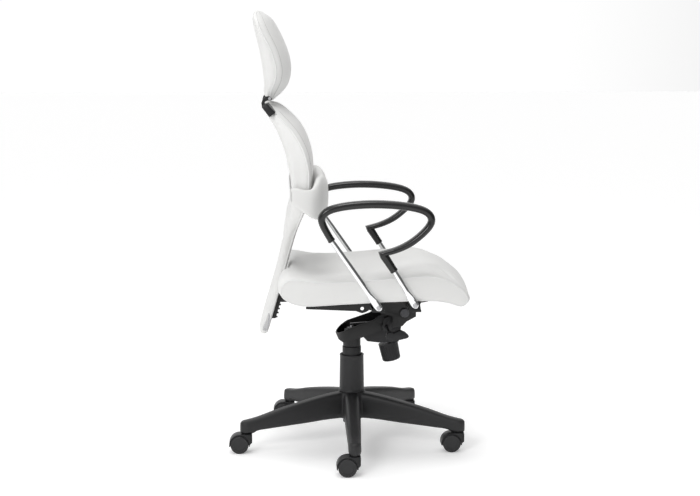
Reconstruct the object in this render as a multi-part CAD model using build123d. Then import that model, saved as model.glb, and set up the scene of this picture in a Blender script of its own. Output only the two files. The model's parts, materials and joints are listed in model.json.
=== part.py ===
from build123d import *
from math import atan2, cos, degrees, hypot, radians, sin
import os

# Swivel office chair with a tall leaf-shaped back, in millimetres.
# +X is the way the sitter faces, +Y the sitter's left, +Z up.
# The origin is on the floor, on the axis of the column.

# Five-star base and casters
LEG_COUNT = 5
LEG_TURN = -91.66          # direction of the first leg, degrees from +X
LEG_REACH = 312.0          # column axis to caster stem
LEG_END_R = 18.0
LEG_BOTTOM = 55.0
HUB_R = 36.0
HUB_TOP = 152.0
STEM_R = 5.5
STEM_TOP = 82.0
WHEEL_R = 25.0
WHEEL_INNER = 5.0          # wheel's inner and outer face from the caster's middle
WHEEL_OUTER = 22.0
TRAIL = 20.0               # wheel axle behind the stem
AXLE_R = 3.0
HOOD_R = 29.0
HOOD_TOP = 54.2
HOOD_HALF = 18.5

# Column: gas cylinder and its telescopic covers
STAND_R = 25.0
STAND_TOP = 252.0
TUBE_R = 14.0
TUBE_FOOT = 100.0
TUBE_TOP = 335.0
ROD_R = 5.0
BUTTON_R = 4.0
RUNNING = 0.06             # radial clearance of every running fit

# Tilt mechanism
PIVOT = (142.0, 393.0)     # (x, z) of the seat's tilt axle
PIVOT_R = 6.0
HOUSING_HALF = 60.0
FLANGE_HALF = 90.0
SHEET = 3.0
LEVER = (93.0, 351.0)      # (x, z) of the height lever's axis
LEVER_R = 4.0
LEVER_Y = -200.0           # middle of the lever's handle
KNOB_TOP = (103.3, 290.0)  # top of the tension knob, on its axis
KNOB_LEAN = (-0.218, 0.976)
KNOB_LENGTH = 51.0
KNOB_TOP_R = 28.0
KNOB_FOOT_R = 26.0
BOLT_R = 5.0

# Seat
SEAT_HALF = 250.0
SHELL_LOW = 433.0
SHELL_HIGH = 443.0
SHELL_RISE = 10.0          # how far the shell's sides turn up
SHELL_FLAT = 168.0         # half width of its flat middle
SHELL_HALF = 215.0
PLATE_LOW = 425.0
STRAP_THICK = 5.0
STRAP_WIDE = 33.0
ARM_Y = 260.0              # plane of each arm
FOOT_REAR = (57.0, 441.0)  # screw holes of the chrome tubes' feet
FOOT_FRONT = (154.0, 447.0)
FOOT_THICK = 6.0
ARM_TUBE_R = 8.0
SLEEVE_REAR = (-67.0, 621.0)
SLEEVE_FRONT = (97.5, 539.5)
LOOP_WIDE = 16.0           # half axes of the arm loop's oval section
LOOP_THICK = 10.5

# Back
SPINE_SLOPE = 0.29         # forward rise of the straight spine, x over z
SPINE_HALF = 46.0
SPINE_FOOT = 334.0
RACK_LOW = 366.0
RACK_HIGH = 429.0
RACK_HALF = 14.0
RACK_DEPTH = 17.0
RACK_NOTCH = 8.0           # depth left between the rack's teeth
CARRIER_LOW = 414.0
CARRIER_HIGH = 432.0
YOKE = (-227.0, 988.0)     # (x, z) of the headrest's tilt rod
YOKE_ROD_R = 4.0
YOKE_ARM_Y = (138.0, 148.0)
CAP_Y = (125.0, 168.0)
LUMBAR_HALF = 230.0
LUMBAR_INNER = 218.5
STRAP_FRONT = -172.0       # front face of the lumbar pad's strap, behind the back

parts = {}


def spine_front(z):
    # x of the spine's straight front face at height z
    return -205.5 + SPINE_SLOPE * (z - 441.0)


def plate(outline, y_low, y_high):
    # side outline of (x, z) points, extruded across the chair
    face = make_face(Polyline(*outline, close=True))
    return extrude(Plane.XZ.offset(-y_high) * face, y_high - y_low)


def slab(outline, z_low, z_high):
    # plan outline of (x, y) points, extruded upwards
    face = make_face(Polyline(*outline, close=True))
    return extrude(Plane.XY.offset(z_low) * face, z_high - z_low)


def front_slab(half_widths, x_low, x_high):
    # front view outline, symmetric about Y = 0, from (z, half width) pairs going up
    right = [(half, z) for z, half in half_widths]
    left = [(-half, z) for z, half in reversed(half_widths)]
    face = make_face(Polyline(*right, *left, close=True))
    return extrude(Plane.YZ.offset(x_low) * face, x_high - x_low)


def rod_y(centre, radius, y_low, y_high):
    return extrude(Plane.XZ.offset(-y_high) * Pos(*centre) * Circle(radius), y_high - y_low)


def rod_z(radius, z_low, z_high, x=0.0, y=0.0):
    return extrude(Plane.XY.offset(z_low) * Pos(x, y) * Circle(radius), z_high - z_low)


def ring_z(inner, outer, z_low, z_high, x=0.0, y=0.0):
    return rod_z(outer, z_low, z_high, x, y) - rod_z(inner, z_low - 1, z_high + 1, x, y)


def turned(profile):
    # (radius, z) outline turned about the column axis
    return revolve(Plane.XZ * make_face(Polyline(*profile, close=True)), Axis.Z)


def both_sides(shape):
    return shape + mirror(shape, about=Plane.XZ)


# ---- five-star base -------------------------------------------------------------------
def leg_directions():
    return [LEG_TURN + 360.0 / LEG_COUNT * k for k in range(LEG_COUNT)]


def stem_place(direction):
    return (LEG_REACH * cos(radians(direction)), LEG_REACH * sin(radians(direction)))


def make_star_base():
    end = LEG_REACH + LEG_END_R
    side = [(0, 150), (38, 149), (120, 137), (210, 116), (290, 95), (LEG_REACH, 91), (end, 87),
            (end, LEG_BOTTOM), (292, LEG_BOTTOM), (287, 61), (60, 75), (0, 75)]
    plan = make_face(Polyline((0, -HUB_R + 10), (LEG_REACH, -LEG_END_R), (LEG_REACH, LEG_END_R),
                              (0, HUB_R - 10), close=True))
    plan += Pos(LEG_REACH, 0) * Circle(LEG_END_R)
    leg = plate(side, -HUB_R, HUB_R) & extrude(plan, HUB_TOP)
    body = rod_z(HUB_R, 74, HUB_TOP)
    for direction in leg_directions():
        body += Rot(0, 0, direction) * leg
    body -= rod_z(STAND_R, 70, HUB_TOP + 2)
    for direction in leg_directions():
        x, y = stem_place(direction)
        body -= rod_z(STEM_R + RUNNING, LEG_BOTTOM - 1, STEM_TOP, x, y)
    return body


parts["star_base"] = make_star_base()


def make_caster(name, x, y):
    wheel = (-TRAIL, WHEEL_R)
    block = [(-TRAIL, 20), (0, 20), (9, 25), (15, 31), (15, HOOD_TOP), (-TRAIL, HOOD_TOP)]
    outline = make_face(Polyline(*block, close=True)) + Pos(*wheel) * Circle(HOOD_R)
    outline -= Pos(-TRAIL, 0) * Rectangle(4 * HOOD_R, 2 * 20)
    hood = extrude(Plane.XZ.offset(-HOOD_HALF) * outline, 2 * HOOD_HALF)
    for low, high in ((WHEEL_INNER - 0.6, 30), (-30, 0.6 - WHEEL_INNER)):
        hood -= rod_y(wheel, WHEEL_R + 1, low, high)
    stem = rod_z(STEM_R, 40, STEM_TOP - 2)
    hood -= stem
    axle = rod_y(wheel, AXLE_R, -WHEEL_OUTER + 2, WHEEL_OUTER - 2)
    hood -= axle
    disc = fillet(rod_y(wheel, WHEEL_R, WHEEL_INNER, WHEEL_OUTER).edges(), 2.5)
    disc -= rod_y(wheel, WHEEL_R - 7, WHEEL_OUTER - 1.2, WHEEL_OUTER + 1)
    disc -= rod_y(wheel, AXLE_R + RUNNING, 0, WHEEL_OUTER - 1.6)
    place = Pos(x, y, 0)
    parts[name + "_hood"] = place * hood
    parts[name + "_pins"] = place * Compound([stem, axle])
    parts[name + "_wheels"] = place * Compound([disc, mirror(disc, about=Plane.XZ)])


for number, direction in enumerate(leg_directions(), 1):
    make_caster(f"caster_{number}", *stem_place(direction))

# ---- column ---------------------------------------------------------------------------
stand = ring_z(STAND_R - 2, STAND_R, 60, STAND_TOP) + rod_z(STAND_R, 60, SHEET + 60)
parts["stand_tube"] = stand - rod_z(ROD_R + RUNNING, 59, 64)
parts["guide_bush"] = ring_z(TUBE_R + RUNNING, STAND_R - 2, 170, STAND_TOP)
parts["thrust_bearing"] = ring_z(ROD_R + RUNNING, 12, 63, 69)
parts["cover_lower"] = turned([(25.2, 152), (37, 152), (37, 155.5), (35.2, 158), (33.6, 254),
                               (34.4, 255), (34.4, 258), (29.8, 258), (29.8, 156), (25.2, 156)])
parts["cover_middle"] = ring_z(27.2, 29.2, 169.5, STAND_TOP)
parts["cover_upper"] = turned([(25.4, 183), (26.6, 183), (26.6, 281), (14.1, 281), (14.1, 279),
                               (25.4, 279)])

piston = rod_z(ROD_R, 52, 216) + rod_z(9, 69.2, 73) + rod_z(TUBE_R - 2 - RUNNING, 215, 230)
parts["piston_rod"] = piston
parts["cylinder_clip"] = ring_z(ROD_R, 9, 56.5, 58.5)

tube = rod_z(TUBE_R, TUBE_FOOT, TUBE_TOP) - rod_z(TUBE_R - 2, TUBE_FOOT + 18, TUBE_TOP - 27)
tube -= rod_z(ROD_R + RUNNING, TUBE_FOOT - 1, TUBE_FOOT + 19)
parts["pressure_tube"] = tube - rod_z(BUTTON_R + RUNNING, TUBE_TOP - 21, TUBE_TOP + 1)
parts["valve_button"] = fillet(rod_z(BUTTON_R, TUBE_TOP - 12, TUBE_TOP + 6).edges(), 0.8)

# ---- tilt mechanism -------------------------------------------------------------------
TUB = [(-46, 321), (-39, 308), (-26, 302), (19, 315), (87, 340), (139, 349), (160, 372), (160, 398),
       (150, 406), (130, 405), (109, 383), (100, 390), (82, 385), (66, 374), (55, 366), (-10, 344),
       (-30, 332)]
TUB_INSIDE = [(-50, 330), (-44, 321), (-37, 310.5), (-24, 305.5), (19, 318), (87, 343), (118, 349),
              (118, 420), (-50, 420)]
TUB_NOSE = (-10.0, 36.0)   # where the rounded rear end starts, and its length


def tub_plan(margin):
    # plan of the housing, rounded at the rear, shrunk all round by the margin
    start, length = TUB_NOSE
    half = HOUSING_HALF - margin
    plan = Pos(start, 0) * Ellipse(length - margin, half) + Pos(90 + start, 0) * Rectangle(180, 2 * half)
    return extrude(Plane.XY.offset(280) * plan, 160)


def make_housing():
    tub = plate(TUB, -HOUSING_HALF, HOUSING_HALF) & tub_plan(0)
    tub -= plate(TUB_INSIDE, -HOUSING_HALF, HOUSING_HALF) & tub_plan(SHEET)
    tub += rod_z(25, 283, 312)
    tub += rod_z(21, 300, 330)
    tub -= rod_z(TUBE_R, 280, TUBE_TOP)
    tub -= rod_y(PIVOT, PIVOT_R + RUNNING, -HOUSING_HALF - 1, HOUSING_HALF + 1)
    return tub - rod_y(LEVER, LEVER_R + 1, -HOUSING_HALF - 1, SHEET - HOUSING_HALF + 1)


parts["tilt_housing"] = make_housing()

bracket = plate([(83, 336), (107, 340), (110, 368), (108, 382), (85, 374)],
                -HOUSING_HALF - 12, -HOUSING_HALF)
bracket += rod_y(LEVER, 12, -HOUSING_HALF - 12, -HOUSING_HALF)
parts["lever_bracket"] = bracket - rod_y(LEVER, LEVER_R + RUNNING, -80, -50)

knob_frame = Plane(origin=(KNOB_TOP[0], 0, KNOB_TOP[1]), z_dir=(KNOB_LEAN[0], 0, KNOB_LEAN[1]))
box = plate([(27, 317.4), (42, 301), (75, 297), (131, 299), (139, 348.4), (87, 339.2)], -35, 35)
box -= plate([(32, 330), (32, 316), (44, 304), (75, 300), (128, 302), (134, 345), (134, 360)], -32, 32)
parts["spring_box"] = box - knob_frame * rod_z(BOLT_R + RUNNING, -10, 20)

coil_path = Helix(pitch=7, height=28, radius=13)
coil = sweep(Plane(origin=coil_path @ 0, z_dir=coil_path % 0) * Circle(2), path=coil_path,
             is_frenet=True)
parts["tension_spring"] = knob_frame * Pos(0, 0, 14) * coil

knob = loft([Circle(KNOB_TOP_R), Plane.XY.offset(-KNOB_LENGTH) * Circle(KNOB_FOOT_R)])
knob = fillet(knob.edges().sort_by(Axis.Z)[0], 5)
flute_lean = degrees(atan2(KNOB_TOP_R - KNOB_FOOT_R, KNOB_LENGTH))
for k in range(24):
    flute = Pos(KNOB_TOP_R + 1.2, 0, 0) * Rot(0, flute_lean, 0) * rod_z(2.2, -KNOB_LENGTH + 6, -5)
    knob -= Rot(0, 0, 15 * k) * flute
bolt = rod_z(BOLT_R, -42, 49)
parts["tension_knob"] = knob_frame * (knob - bolt)
parts["tension_bolt"] = knob_frame * bolt

lever = rod_y(LEVER, LEVER_R, LEVER_Y - 5, 10)
arm_tip = (-5, 344.5)
reach = plate([(LEVER[0], LEVER[1] + 2.5), (arm_tip[0], arm_tip[1] + 2.5),
               (arm_tip[0], arm_tip[1] - 2.5), (LEVER[0], LEVER[1] - 2.5)], -6, 6)
parts["lever_rod"] = lever + reach
paddle = plate([(90, 359), (105, 361), (119, 368), (134, 361), (144, 352), (138, 347), (111, 341),
                (92, 341)], LEVER_Y - 11, LEVER_Y + 11)
paddle = fillet(paddle.edges().filter_by(Axis.Y).sort_by(Axis.X)[2:], 3)
paddle += rod_y(LEVER, 12, LEVER_Y - 11, LEVER_Y + 11)
parts["lever_handle"] = paddle - lever

# ---- seat -----------------------------------------------------------------------------
FLANGE = [(-132, 413), (-132, 406), (7, 399), (14, 396), (24, 393), (34, 396), (44, 402),
          (109, 383), (110, 351), (131, 357), (148, 368), (174, 382), (174, 394), (190, 425),
          (190, 428), (-100, 428)]
seat_bolt_places = [(x, y) for x in (-110, FOOT_REAR[0], FOOT_FRONT[0]) for y in (-60, 60)]


def bolt_holes(z_low, z_high):
    return [rod_z(3, z_low, z_high, x, y) for x, y in seat_bolt_places]


def make_seat_plate():
    body = plate(FLANGE, -FLANGE_HALF, FLANGE_HALF)
    body -= plate([(-140, 300), (200, 300), (200, PLATE_LOW), (-140, PLATE_LOW)],
                  SHEET - FLANGE_HALF, FLANGE_HALF - SHEET)
    body -= rod_y((24, 406), 5, -100, 100)
    body -= rod_y(PIVOT, PIVOT_R, -100, 100)
    for hole in bolt_holes(PLATE_LOW - 1, PLATE_LOW + 5):
        body -= hole
    return body


parts["seat_plate"] = make_seat_plate()
axle = rod_y(PIVOT, PIVOT_R, -FLANGE_HALF, FLANGE_HALF)
head = fillet(rod_y(PIVOT, 13, FLANGE_HALF, FLANGE_HALF + 4).edges().sort_by(Axis.Y)[-1], 2)
parts["pivot_axle"] = axle + both_sides(head)
bush = rod_y(PIVOT, 11, HOUSING_HALF + 0.3, FLANGE_HALF - SHEET)
bush -= rod_y(PIVOT, PIVOT_R, HOUSING_HALF, FLANGE_HALF)
parts["pivot_bushes"] = Compound([bush, mirror(bush, about=Plane.XZ)])


def make_seat_bolt(x, y):
    hexagon = extrude(Plane.XY.offset(PLATE_LOW - 4) * Pos(x, y) * RegularPolygon(6, 6), 4)
    return hexagon + rod_z(3, PLATE_LOW, SHELL_HIGH - 2, x, y)


parts["seat_bolts"] = Compound([make_seat_bolt(x, y) for x, y in seat_bolt_places])


def make_strap(foot):
    half = ARM_Y - FOOT_THICK / 2
    low = PLATE_LOW + SHEET
    width = STRAP_WIDE / 2
    bar = Pos(foot[0], 0, low + STRAP_THICK / 2) * Box(STRAP_WIDE, 2 * half, STRAP_THICK)
    tab = plate([(foot[0] - width, low), (foot[0] + width, low), (foot[0] + 12, foot[1] + 10),
                 (foot[0] - 12, foot[1] + 10)], half - STRAP_THICK, half)
    tab -= rod_y(foot, 3.4, half - 10, half + 5)
    strap = bar + both_sides(tab)
    for hole in bolt_holes(low - 1, SHELL_LOW + 1):
        strap -= hole
    return strap


parts["arm_straps"] = Compound([make_strap(FOOT_REAR), make_strap(FOOT_FRONT)])



def make_seat_shell():
    # moulded shell whose sides turn up
    low, high, rise = SHELL_LOW, SHELL_HIGH, SHELL_RISE
    flat, edge = SHELL_FLAT, SHELL_HALF
    section = [(-edge, low + rise), (-flat, low), (flat, low), (edge, low + rise),
               (edge, high + rise), (flat, high), (-flat, high), (-edge, high + rise)]
    face = make_face(Polyline(*section, close=True))
    shell = extrude(Plane.YZ.offset(-200) * face, 500)
    return shell & extrude(Plane.XY.offset(low) * Pos(35, 0) * RectangleRounded(400, 2 * edge, 60),
                           high + rise - low)


seat_shell = make_seat_shell()
parts["seat_shell"] = seat_shell
for hole in bolt_holes(SHELL_LOW - 1, SHELL_HIGH - 2):
    parts["seat_shell"] -= hole


def make_seat_cushion():
    side = [(-190, 518), (-199, 505), (-203, 485), (-198, 468), (-185, 455), (-160, 446),
            (-100, 443), (60, 443), (208, 449), (244, 446), (266, 436), (288, 433), (300, 443),
            (309, 460), (311, 475), (308, 495), (290, 512), (262, 524), (230, 531), (190, 531),
            (140, 527), (47, 520), (-49, 513), (-113, 513), (-158, 522)]
    pad = plate(side, -SEAT_HALF, SEAT_HALF)
    pad &= extrude(Plane.XY.offset(400) * Pos(54, 0) * RectangleRounded(514, 2 * SEAT_HALF, 60), 200)
    notch = [(-240, 400), (spine_front(400) + 2, 400), (spine_front(560) + 2, 560), (-240, 560)]
    pad -= plate(notch, -SPINE_HALF - 16, SPINE_HALF + 16)
    pad -= seat_shell
    return pad - plate([(-240, 400), (-174, 400), (-174, 484), (-240, 484)], -24, 24)


parts["seat_cushion"] = make_seat_cushion()
parts["back_bar"] = plate([(-180, 417), (-70, 417), (-70, PLATE_LOW), (-180, PLATE_LOW)], -30, 30)


def make_carrier():
    gap = 0.6
    low, high = CARRIER_LOW, CARRIER_HIGH
    body = plate([(spine_front(low) + gap, low), (-180, low), (-180, high),
                  (spine_front(high) + gap, high)], -RACK_HALF - 8, RACK_HALF + 8)
    slot = [(-240, low - 1), (spine_front(low - 1) + RACK_DEPTH + 1.2, low - 1),
            (spine_front(high + 1) + RACK_DEPTH + 1.2, high + 1), (-240, high + 1)]
    return body - plate(slot, -RACK_HALF - gap, RACK_HALF + gap)


parts["back_carrier"] = make_carrier()

# ---- arms -----------------------------------------------------------------------------
LOOP_ROUTE = [SLEEVE_REAR, (-102, 671), (-93, 702), (-20, 716), (90, 718), (170, 706), (205, 681),
              (183, 644), (132, 605), (86, 587), (45, 581)]
LOOP_RADII = [30, 38, 150, 200, 60, 24, 50, 120, 60]


def make_loop():
    path = FilletPolyline(*[(x, 0, z) for x, z in LOOP_ROUTE], radius=LOOP_RADII)
    section = Plane(origin=path @ 0, z_dir=path % 0, x_dir=(0, 1, 0))
    loop = sweep(section * Ellipse(LOOP_WIDE, LOOP_THICK), path=path)
    lean = Vector(SLEEVE_FRONT[0] - 62, 0, SLEEVE_FRONT[1] - 594).normalized()
    foot = Plane(origin=(SLEEVE_FRONT[0], 0, SLEEVE_FRONT[1]), z_dir=lean, x_dir=(0, 1, 0))
    sleeve = loft([foot * Ellipse(12.5, 10), foot.offset(-66) * Ellipse(LOOP_WIDE, 14)])
    body = loop + sleeve
    # mitre behind the sharp corner where the loop meets its front sleeve
    body -= plate([(49, 589), (89.5, 533.5), (0, 500), (-40, 640)], -30, 30)
    return body - plate([(30, 620), (49, 589.5), (84, 597.5), (110, 640)], -30, 30)


def tube_pieces(sleeve_end, foot, y):
    lean = Vector(foot[0] - sleeve_end[0], 0, foot[1] - sleeve_end[1]).normalized()
    top = Plane(origin=Vector(sleeve_end[0], y, sleeve_end[1]) - lean * 20, z_dir=lean)
    length = hypot(foot[0] - sleeve_end[0], foot[1] - sleeve_end[1])
    shaft = extrude(top * Circle(ARM_TUBE_R), length)
    flat = Plane(origin=(foot[0], y, foot[1]), x_dir=lean, z_dir=(0, -1, 0))
    tongue = flat * (Circle(9) + Pos(-13, 0) * Rectangle(26, 18) - Circle(3.4))
    return shaft, extrude(tongue, FOOT_THICK / 2, both=True)


def make_arm(side, name):
    y = side * ARM_Y
    loop = Pos(0, y, 0) * make_loop()
    tubes = []
    for sleeve_end, foot in ((SLEEVE_REAR, FOOT_REAR), (SLEEVE_FRONT, FOOT_FRONT)):
        shaft, tongue = tube_pieces(sleeve_end, foot, y)
        loop -= shaft
        tubes.append(shaft + tongue)
    parts["arm_loop_" + name] = loop
    parts["arm_tubes_" + name] = Compound(tubes)


make_arm(1, "left")
make_arm(-1, "right")


def make_arm_bolt(foot):
    inner = ARM_Y - FOOT_THICK / 2 - STRAP_THICK
    outer = ARM_Y + FOOT_THICK / 2
    return rod_y(foot, 3.4, inner, outer) + fillet(
        rod_y(foot, 6.5, outer, outer + 3.5).edges().sort_by(Axis.Y)[-1], 2.5)


arm_bolts = [make_arm_bolt(FOOT_REAR), make_arm_bolt(FOOT_FRONT)]
parts["arm_bolts"] = Compound(arm_bolts + [mirror(b, about=Plane.XZ) for b in arm_bolts])

# ---- back -----------------------------------------------------------------------------
BACK_REAR = [(-259, SPINE_FOOT), (-223, 464), (-208, 516), (-195, 577), (-183.5, 628), (-176, 669),
             (-171, 700), (-171, 761), (-174, 804), (-180, 837), (-191, 872), (-206, 907),
             (-227, 941), (-242, 962)]
BACK_FRONT = [(-232, 970), (-206, 970), (-186, 958), (-168, 943), (-152, 929), (-136, 908),
              (-117, 863), (-110, 815), (-110, 794), (-113, 740), (-122, 700)]
BACK_WIDTHS = [(SPINE_FOOT, 45), (560, 48), (580, 55), (620, 90), (650, 150), (675, 185),
               (700, 203), (740, 215), (800, 215), (870, 200), (905, 185), (940, 165), (960, 145),
               (970, 120)]


def make_spine_bar():
    # steel bar inside the upholstery: down the spine and up the middle of the leaf
    inset = 6
    low, bend = SPINE_FOOT + 2, 640
    profile = [(spine_front(low) - inset, low), (spine_front(bend) - inset, bend), (-140, 700),
               (-138, 800), (-150, 870), (-172, 910), (-184, 910), (-162, 870), (-150, 800),
               (-152, 700), (spine_front(bend) - inset - 12, bend),
               (spine_front(low) - inset - 12, low)]
    return plate(profile, -38, 38)


def make_rack():
    # toothed strip down the front of the spine, teeth pointing forwards
    count = 6
    tooth = 7.0
    pitch = (RACK_HIGH - RACK_LOW - tooth) / (count - 1)
    outline = [(spine_front(RACK_LOW), RACK_LOW)]
    for k in range(count):
        foot = RACK_LOW + k * pitch
        for z, depth in ((foot, RACK_NOTCH), (foot, RACK_DEPTH), (foot + tooth, RACK_DEPTH),
                         (foot + tooth, RACK_NOTCH)):
            outline.append((spine_front(z) + depth, z))
    outline.append((spine_front(RACK_HIGH), RACK_HIGH))
    return plate(outline, -RACK_HALF, RACK_HALF)


def make_yoke_cap(side, name):
    inner, outer = CAP_Y
    small = [(-245, 962), (-242, 972), (-233, 974), (-213, 953), (-214, 950), (-228, 940)]
    large = [(-247, 963), (-244, 974), (-230, 977), (-209, 954), (-210, 950), (-228, 937)]
    faces = [Plane.XZ.offset(-y) * make_face(Polyline(*corners, close=True))
             for y, corners in ((inner, large), (outer, small))]
    cap = loft(faces, ruled=True)
    arm = plate([(-240, 960), (-247, 963), (-249, 976), (-246, 985), (-238, 993.5), (-227, 994),
                 (-221, 989), (-221, 984), (-229, 983), (-236, 985.5), (-240.5, 978), (-239, 970)],
                *YOKE_ARM_Y)
    arm -= rod_y(YOKE, YOKE_ROD_R, 100, 170)
    body = cap + arm
    parts["yoke_cap_" + name] = body if side > 0 else mirror(body, about=Plane.XZ)


make_yoke_cap(1, "left")
make_yoke_cap(-1, "right")
parts["yoke_rod"] = rod_y(YOKE, YOKE_ROD_R, -YOKE_ARM_Y[1], YOKE_ARM_Y[1])


def make_back_cushion():
    straight = [(spine_front(660), 660), (spine_front(SPINE_FOOT), SPINE_FOOT)]
    pad = plate(BACK_REAR + BACK_FRONT + straight, -LUMBAR_HALF, LUMBAR_HALF)
    pad &= front_slab(BACK_WIDTHS, -300, 0)
    for inside in ("spine_bar", "yoke_cap_left", "yoke_cap_right"):
        pad -= parts[inside]
    return pad


parts["spine_bar"] = make_spine_bar()
parts["back_rack"] = make_rack()
parts["back_cushion"] = make_back_cushion()


def make_lumbar_pad():
    # padded front that wraps round both edges of the back
    rear = STRAP_FRONT
    plan = [(rear, -LUMBAR_HALF), (-100, -LUMBAR_HALF), (-82, -205), (-72, -120), (-70, 0),
            (-72, 120), (-82, 205), (-100, LUMBAR_HALF), (rear, LUMBAR_HALF), (rear, LUMBAR_INNER),
            (-107, LUMBAR_INNER), (-106, 0), (-107, -LUMBAR_INNER), (rear, -LUMBAR_INNER)]
    side = [(-180, 713), (-172, 711), (-152, 696), (-134, 675), (-124, 669), (-100, 669),
            (-78, 690), (-68, 716), (-70, 745), (-85, 760), (-180, 760)]
    return slab(plan, 660, 770) & plate(side, -240, 240)


parts["lumbar_pad"] = make_lumbar_pad()
parts["lumbar_strap"] = Pos(STRAP_FRONT - 1, 0, 735) * Box(2, 2 * LUMBAR_HALF, 26)

# ---- headrest -------------------------------------------------------------------------
parts["headrest_bracket"] = rod_y(YOKE, 6.2, -95, 95) - rod_y(YOKE, YOKE_ROD_R + RUNNING, -96, 96)
parts["headrest_plate"] = plate([(-230, 994.4), (-227, 994.4), (-226, 1060), (-243, 1180),
                                 (-246, 1180), (-229, 1060)], -90, 90)


def make_headrest_cushion():
    side = [(-262, 1218), (-271, 1206), (-266, 1189), (-256, 1148), (-248, 1113), (-240, 1065),
            (-236, 1019), (-240, 995), (-232, 984), (-225, 978), (-214, 983), (-200, 995),
            (-180, 1015), (-171, 1034), (-166, 1068), (-171, 1101), (-185, 1140), (-204, 1179),
            (-216, 1198), (-237, 1215), (-250, 1222)]
    widths = [(978, 100), (1000, 122), (1040, 140), (1080, 146), (1140, 146), (1180, 138),
              (1205, 118), (1222, 85)]
    pad = plate(side, -150, 150) & front_slab(widths, -300, 0)
    return pad - rod_y(YOKE, 6.5, -150, 150) - parts["headrest_plate"]


parts["headrest_cushion"] = make_headrest_cushion()

# ---- files ----------------------------------------------------------------------------
os.makedirs("parts", exist_ok=True)
for node, shape in parts.items():
    export_step(shape, f"parts/{node}.step")
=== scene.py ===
import bpy
import bmesh
import json
import math
import numpy as np
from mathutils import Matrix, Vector
from mathutils.bvhtree import BVHTree
from mathutils.kdtree import KDTree

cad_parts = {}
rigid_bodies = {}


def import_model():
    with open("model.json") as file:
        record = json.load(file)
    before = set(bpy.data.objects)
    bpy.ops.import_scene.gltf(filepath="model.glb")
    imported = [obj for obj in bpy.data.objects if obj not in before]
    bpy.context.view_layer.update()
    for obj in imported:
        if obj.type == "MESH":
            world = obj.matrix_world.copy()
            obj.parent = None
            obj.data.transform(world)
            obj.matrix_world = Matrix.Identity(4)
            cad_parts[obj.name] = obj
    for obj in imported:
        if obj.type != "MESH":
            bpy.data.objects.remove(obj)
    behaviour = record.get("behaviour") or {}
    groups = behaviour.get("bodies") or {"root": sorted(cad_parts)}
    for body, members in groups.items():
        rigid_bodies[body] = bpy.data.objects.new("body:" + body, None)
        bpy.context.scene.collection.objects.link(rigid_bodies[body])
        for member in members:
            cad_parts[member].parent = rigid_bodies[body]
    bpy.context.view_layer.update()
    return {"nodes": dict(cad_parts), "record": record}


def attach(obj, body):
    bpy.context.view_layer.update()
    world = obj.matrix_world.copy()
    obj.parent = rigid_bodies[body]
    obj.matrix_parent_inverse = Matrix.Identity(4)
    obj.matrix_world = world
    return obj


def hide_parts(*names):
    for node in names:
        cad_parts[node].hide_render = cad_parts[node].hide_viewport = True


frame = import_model()
nodes = frame["nodes"]
print("frame loaded:", len(nodes), "nodes")


# shader maths: a value in a material's tree that can be added, scaled and compared
class Value:
    def __init__(self, paint, socket):
        self.paint = paint
        self.socket = socket

    def maths(self, operation, first, second):
        return self.paint.node("ShaderNodeMath", {"operation": operation}, {0: first, 1: second})

    def __add__(self, other):
        return self.maths("ADD", self, other)

    def __radd__(self, other):
        return self.maths("ADD", other, self)

    def __sub__(self, other):
        return self.maths("SUBTRACT", self, other)

    def __rsub__(self, other):
        return self.maths("SUBTRACT", other, self)

    def __mul__(self, other):
        return self.maths("MULTIPLY", self, other)

    def __rmul__(self, other):
        return self.maths("MULTIPLY", other, self)

    def __gt__(self, other):
        return self.maths("GREATER_THAN", self, other)


class Tree:
    def __init__(self, tree):
        self.tree = tree

    def node(self, kind, settings, sockets, output=0):
        made = self.tree.nodes.new(kind)
        for key, setting in settings.items():
            setattr(made, key, setting)
        for key, value in sockets.items():
            if isinstance(value, Value):
                self.tree.links.new(value.socket, made.inputs[key])
            else:
                made.inputs[key].default_value = value
        return Value(self, made.outputs[output])


class Paint(Tree):
    # a material: its shader's own numbers first, then the nodes that vary over the surface
    def __init__(self, name, color, roughness, **numbers):
        self.material = bpy.data.materials.new(name)
        self.material.use_nodes = True
        super().__init__(self.material.node_tree)
        self.shader = self.tree.nodes["Principled BSDF"]
        self.color = color
        self.shader.inputs["Base Color"].default_value = (*color, 1)
        self.shader.inputs["Roughness"].default_value = roughness
        for socket, number in numbers.items():
            self.shader.inputs[socket.replace("_", " ")].default_value = number
        self.place = self.node("ShaderNodeTexCoord", {}, {}, "Object")
        self.material.diffuse_color = (*color, 1)

    def noise(self, scale, detail=4, at=None):
        return self.node("ShaderNodeTexNoise", {},
                         {"Vector": at or self.place, "Scale": scale, "Detail": detail}, "Fac")

    def cells(self, scale):
        return self.node("ShaderNodeTexVoronoi", {"feature": "DISTANCE_TO_EDGE"},
                         {"Vector": self.place, "Scale": scale}, "Distance")

    def stretched(self, x, y, z):
        return self.node("ShaderNodeMapping", {}, {"Vector": self.place, "Scale": (x, y, z)})

    def between(self, value, low, high):
        # value from 0 to 1 taken to the range low to high
        return value * (high - low) + low

    def feed(self, socket, value):
        self.tree.links.new(value.socket, self.shader.inputs[socket])

    def tint(self, share, other):
        # share of the way from the material's own colour to another
        mix = self.node("ShaderNodeMix", {"data_type": "RGBA"}, {"Factor": share})
        made = mix.socket.node
        made.inputs[6].default_value = (*self.color, 1)
        made.inputs[7].default_value = (*other, 1)
        self.feed("Base Color", Value(self, made.outputs[2]))

    def bump(self, height, depth, strength=1.0):
        self.feed("Normal", self.node("ShaderNodeBump", {},
                                      {"Height": height, "Distance": depth, "Strength": strength}))


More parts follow.
